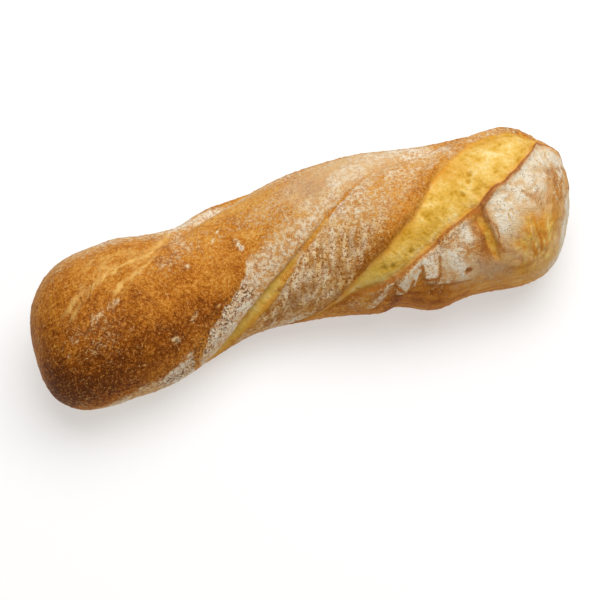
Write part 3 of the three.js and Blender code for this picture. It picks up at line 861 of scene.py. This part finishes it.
class Layers:
    """Makes the nodes of one material and links them. A colour is three screen values from 0 to 255."""

    def __init__(self, name):
        self.material = bpy.data.materials.new(name)
        self.material.use_nodes = True
        self.tree = self.material.node_tree
        self.shader = self.tree.nodes["Principled BSDF"]
        self.place = self.node("TexCoord").outputs["Object"]

    def put(self, node, inputs):
        """Links outputs to a node's inputs, known by identifier, or sets an input's own number or colour."""
        sockets = {socket.identifier: socket for socket in node.inputs}
        for name, value in inputs.items():
            if isinstance(value, bpy.types.NodeSocket):
                self.tree.links.new(value, sockets[name])
            else:
                sockets[name].default_value = shown(*value) if isinstance(value, tuple) else value

    def node(self, kind, inputs=None, **settings):
        """A new node of that kind, with its settings made before its inputs are put in."""
        node = self.tree.nodes.new("ShaderNode" + kind)
        for name, value in settings.items():
            setattr(node, name, value)
        self.put(node, inputs or {})
        return node

    def field(self, name, output="Fac"):
        """A field stored on the mesh."""
        return self.node("Attribute", attribute_name=name).outputs[output]

    def between(self, value, low, high, start=0.0, stop=1.0, step="SMOOTHSTEP"):
        """A step, smooth unless said otherwise: start below low, stop above high."""
        inputs = {"Value": value, "From Min": low, "From Max": high, "To Min": start, "To Max": stop}
        return self.node("MapRange", inputs, interpolation_type=step).outputs["Result"]

    def noise_on(self, place, scale, detail, roughness):
        """Noise over places, stretched to run from about -0.5 to 0.5."""
        inputs = {"Vector": place, "Scale": scale, "Detail": detail, "Roughness": roughness}
        return self.between(self.node("TexNoise", inputs).outputs["Fac"], 0.2, 0.8, -0.75, 0.75, "LINEAR")

    def grain(self, size_mm, detail=2.0, roughness=0.6):
        """Noise with features of that size on the loaf."""
        return self.noise_on(self.place, 1 / (size_mm * MM), detail, roughness)

    def net(self, place, width):
        """A net of thin lines between cells, drawn over places: 1 on a line, 0 past its width."""
        lines = self.node("TexVoronoi", {"Vector": place, "Scale": 1.0}, feature="DISTANCE_TO_EDGE")
        return self.between(lines.outputs["Distance"], 0.0, width, 1.0, 0.0)

    def sum(self, total, *terms):
        """The first value plus each (value, weight) term."""
        for value, weight in terms:
            inputs = {"Value": value, "Value_001": weight, "Value_002": total}
            total = self.node("Math", inputs, operation="MULTIPLY_ADD").outputs[0]
        return total

    def times(self, product, *values):
        """The first value times each other value."""
        for value in values:
            inputs = {"Value": product, "Value_001": value}
            product = self.node("Math", inputs, operation="MULTIPLY").outputs[0]
        return product

    def ramp(self, value, stops):
        """Colours at places from 0 to 1."""
        node = self.node("ValToRGB", {"Fac": value})
        elements = node.color_ramp.elements
        while len(elements) < len(stops):
            elements.new(0.5)
        for element, (position, colour) in zip(elements, stops):
            element.position = position
            element.color = shown(*colour)
        return node.outputs["Color"]

    def over(self, under, top, share):
        """The top colour laid over the under colour where share is 1."""
        inputs = {"Factor_Float": share, "A_Color": under, "B_Color": top}
        return self.node("Mix", inputs, data_type="RGBA").outputs[MIXED_COLOUR]


print("node helpers ready; white shows at a surface value of", round(shown(255, 255, 255)[0], 2))

# %% Bare crust and crumb
SKIN_COLOURS = [
    (0, (238, 190, 116)), (0.25, (224, 160, 70)), (0.5, (200, 124, 33)), (0.75, (154, 82, 7)),
    (1, (104, 49, 0)),
]
CRUMB_COLOURS = [
    (0, (204, 152, 36)), (0.4, (234, 185, 78)), (0.75, (248, 208, 116)), (1, (252, 228, 160)),
]
TOAST_AND_SHADOW_COLOURS = [(0.1, (202, 124, 52)), (0.9, (142, 74, 24))]
GLINT_COLOUR = (230, 178, 104)
EDGE_COLOUR = (226, 150, 48)
DOUGH_COLOUR = (222, 190, 88)
STRETCHED_COLOUR = (250, 204, 118)

layers = Layers("baked crust")
grain = layers.grain(1.5)
speck = layers.grain(0.7)
blotch = layers.grain(7.0, 3.0)
grainy = layers.between(layers.field("smooth"), 0.0, 1.0, 1.0, 0.35)
roast = layers.times(grainy, layers.sum(0.0, (grain, -0.32), (speck, -0.28)))
# Blister tops are painted a little paler, and glints are painted highlights: pale flecks laid over the bare
# crust.
bake_level = layers.sum(layers.field("bake"), (roast, 1.0), (blotch, 0.24), (layers.field("blister"), -0.16))
glint = layers.between(layers.sum(speck, (grain, 0.7)), 0.05, 0.7, 0.0, 0.38)
bare = layers.over(layers.ramp(bake_level, SKIN_COLOURS), GLINT_COLOUR, layers.times(glint, grainy))
crumb_level = layers.sum(layers.field("crumb"), (grain, 0.3), (blotch, 0.75))
crumb = layers.ramp(crumb_level, CRUMB_COLOURS)
for colour, name in [(EDGE_COLOUR, "edge"), (DOUGH_COLOUR, "dough")]:
    crumb = layers.over(crumb, colour, layers.field(name))
# This dark colour also paints the shadow lines under the lip, the scales and the skin edges.
toasted_and_shaded = layers.ramp(layers.sum(0.5, (grain, 0.8)), TOAST_AND_SHADOW_COLOURS)
for colour, name in [(STRETCHED_COLOUR, "stretched"), (crumb, "torn"), (toasted_and_shaded, "toast_and_shadow")]:
    bare = layers.over(bare, colour, layers.field(name))
print("bare layers ready")

# %% Flour on top
GAP_COLOUR = (150, 84, 16)
SCORE_COLOUR = (146, 92, 34)
PIT_COLOUR = (108, 66, 32)
COAT_COLOUR = (242, 222, 186)
HAIR_COLOUR = (112, 82, 50)
FLOUR_COLOURS = [(0, (216, 170, 112)), (0.58, (233, 201, 155)), (1, (246, 235, 213))]
WARM_FLOUR = (255, 212, 138)
BUMP = {"Strength": 0.6, "Distance": 0.4 * MM}
SHINE = 0.08

scored_share = layers.field("scored")
scored_place = layers.field("scored_place", "Vector")
coat = layers.field("coat")
dotted = layers.between(layers.sum(speck, (grain, 0.6)), -0.4, 0.25)
score = layers.times(scored_share, layers.net(scored_place, 0.36), dotted)
pit = layers.times(layers.field("pitted"), layers.between(layers.grain(1.2, 1.0, 0.5), 0.0, 0.25))
gaps = layers.times(scored_share, layers.between(layers.sum(speck, (grain, 0.8)), -0.12, -0.4))
hair_noise = layers.grain(2.6, 2.0, 0.5)
hair = layers.between(layers.times(hair_noise, hair_noise), 0.0025, 0.0004)
hair = layers.times(hair, layers.between(layers.sum(blotch, (grain, 0.5)), -0.08, 0.1), coat)
broken = layers.sum(pit, (score, 0.9), (gaps, 1.1), (hair, 1.0))
for colour, share, strength in [
    (GAP_COLOUR, gaps, 0.7), (SCORE_COLOUR, score, 0.9), (PIT_COLOUR, pit, 0.85), (COAT_COLOUR, coat, 0.9),
    (HAIR_COLOUR, hair, 0.9),
]:
    bare = layers.over(bare, colour, layers.times(share, strength))
fleck = layers.grain(2.0)
columns = layers.times(scored_share, layers.noise_on(scored_place, 1.3, 2.0, 0.5))
thickness = layers.sum(layers.field("flour"), (blotch, 0.3), (columns, 0.95))
floury = layers.sum(thickness, (fleck, 0.5))
veil = layers.between(floury, 0.12, 1.05, 0.0, 0.42)
granules = layers.times(scored_share, layers.sum(grain, (speck, 0.8)))
clumps = layers.sum(floury, (speck, 1.1), (fleck, 0.9), (granules, 2.2))
flecks = layers.between(clumps, 0.64, 0.96, 0.0, 0.58)
flour_cover = layers.times(layers.sum(veil, (flecks, 1.0)), layers.between(broken, 0.0, 1.0, 1.0, 0.15))
flour = layers.ramp(layers.between(thickness, 0.3, 1.1, 0.0, 1.0, "LINEAR"), FLOUR_COLOURS)
flour = layers.over(flour, WARM_FLOUR, layers.times(scored_share, 0.6))
bump = layers.node("Bump", {**BUMP, "Height": layers.sum(grain, (speck, 0.5), (flour_cover, 0.5))})
layers.put(layers.shader, {
    "Base Color": layers.over(bare, flour, flour_cover),
    "Roughness": layers.between(flour_cover, 0.0, 1.0, 0.6, 0.95),
    "Specular IOR Level": SHINE,
    "Normal": bump.outputs["Normal"],
})
crust_mesh.materials.append(layers.material)
print("the crust's material has", len(layers.tree.nodes), "nodes")

# %% The crust stands for the solid
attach(crust, "root")
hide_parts("loaf")
print("crust rides on the loaf's body and replaces its solid")

# %% [markdown]
# ## Floor, light and camera
#
# The loaf was photographed on white under soft light from above. A large pale floor that glows a little,
# one wide lamp slightly behind the loaf and a weak white sky give the same gentle shading. The camera looks
# down at it from the front left, far enough away for a flat perspective.

# %% Floor
FLOOR_HALF = 3.0
FLOOR_LOOK = {
    "Base Color": (0.42, 0.42, 0.42, 1), "Roughness": 1.0, "Specular IOR Level": 0.0,
    "Emission Color": (1, 1, 1, 1), "Emission Strength": 0.5,
}


def pale_floor():
    """A flat square of one face, level with the loaf's base, pale and faintly lit from within."""
    mesh = bpy.data.meshes.new("floor")
    corners = FLOOR_HALF * np.array([(-1, -1, 0), (1, -1, 0), (1, 1, 0), (-1, 1, 0)])
    mesh.from_pydata(corners.tolist(), [], [(0, 1, 2, 3)])
    material = bpy.data.materials.new("pale floor")
    material.use_nodes = True
    shader = material.node_tree.nodes["Principled BSDF"]
    for name, value in FLOOR_LOOK.items():
        shader.inputs[name].default_value = value
    mesh.materials.append(material)
    return placed("floor", mesh)


pale_floor()
print("floor laid")

# %% Light
LAMP_PLACE = Vector((0.3, 0.2, 1.2))
LAMP_SIZE = 1.4
LAMP_WATTS = 23
SKY_COLOUR = (1, 0.94, 0.84, 1)
SKY_STRENGTH = 0.3

lamp_data = bpy.data.lights.new("wide lamp", "AREA")
lamp_data.size = LAMP_SIZE
lamp_data.energy = LAMP_WATTS
lamp = placed("wide lamp", lamp_data)
lamp.location = LAMP_PLACE
lamp.rotation_euler = (-LAMP_PLACE).to_track_quat("-Z", "Y").to_euler()
world = bpy.data.worlds.new("even sky")
world.use_nodes = True
background = world.node_tree.nodes["Background"]
background.inputs["Color"].default_value = SKY_COLOUR
background.inputs["Strength"].default_value = SKY_STRENGTH
bpy.context.scene.world = world
bpy.context.scene.view_settings.view_transform = "Standard"
print("light set")

# %% Camera
AZIMUTH = -20.9
ELEVATION = 55.0
DISTANCE = 1100.0
MM_PER_PIXEL = 0.4885
PICTURE_PIXELS = 600
AIMED_AT = np.array([0.0, 0.0, 30.0])
AIM_PIXEL = (306.5, 259.0)


def set_camera():
    """Places the eye by azimuth and elevation, then turns it so that the aimed point falls on its pixel."""
    azimuth, elevation = np.radians([AZIMUTH, ELEVATION])
    level = np.cos(elevation)
    back = np.array([np.sin(azimuth) * level, -np.cos(azimuth) * level, np.sin(elevation)])
    right = np.array([np.cos(azimuth), np.sin(azimuth), 0.0])
    up = np.cross(back, right)
    across, down = (PICTURE_PIXELS - 1) / 2 - np.array(AIM_PIXEL)
    aimed = AIMED_AT + to_frame
    centre = aimed + MM_PER_PIXEL * (across * right - down * up)
    eye = aimed + DISTANCE * back
    data = bpy.data.cameras.new("camera")
    data.lens = data.sensor_width * DISTANCE / (PICTURE_PIXELS * MM_PER_PIXEL)
    camera = placed("camera", data)
    camera.location = Vector(eye * MM)
    camera.rotation_euler = Vector(centre - eye).to_track_quat("-Z", "Y").to_euler()
    bpy.context.scene.camera = camera
    return data.lens


print("camera lens:", round(set_camera(), 1), "mm")
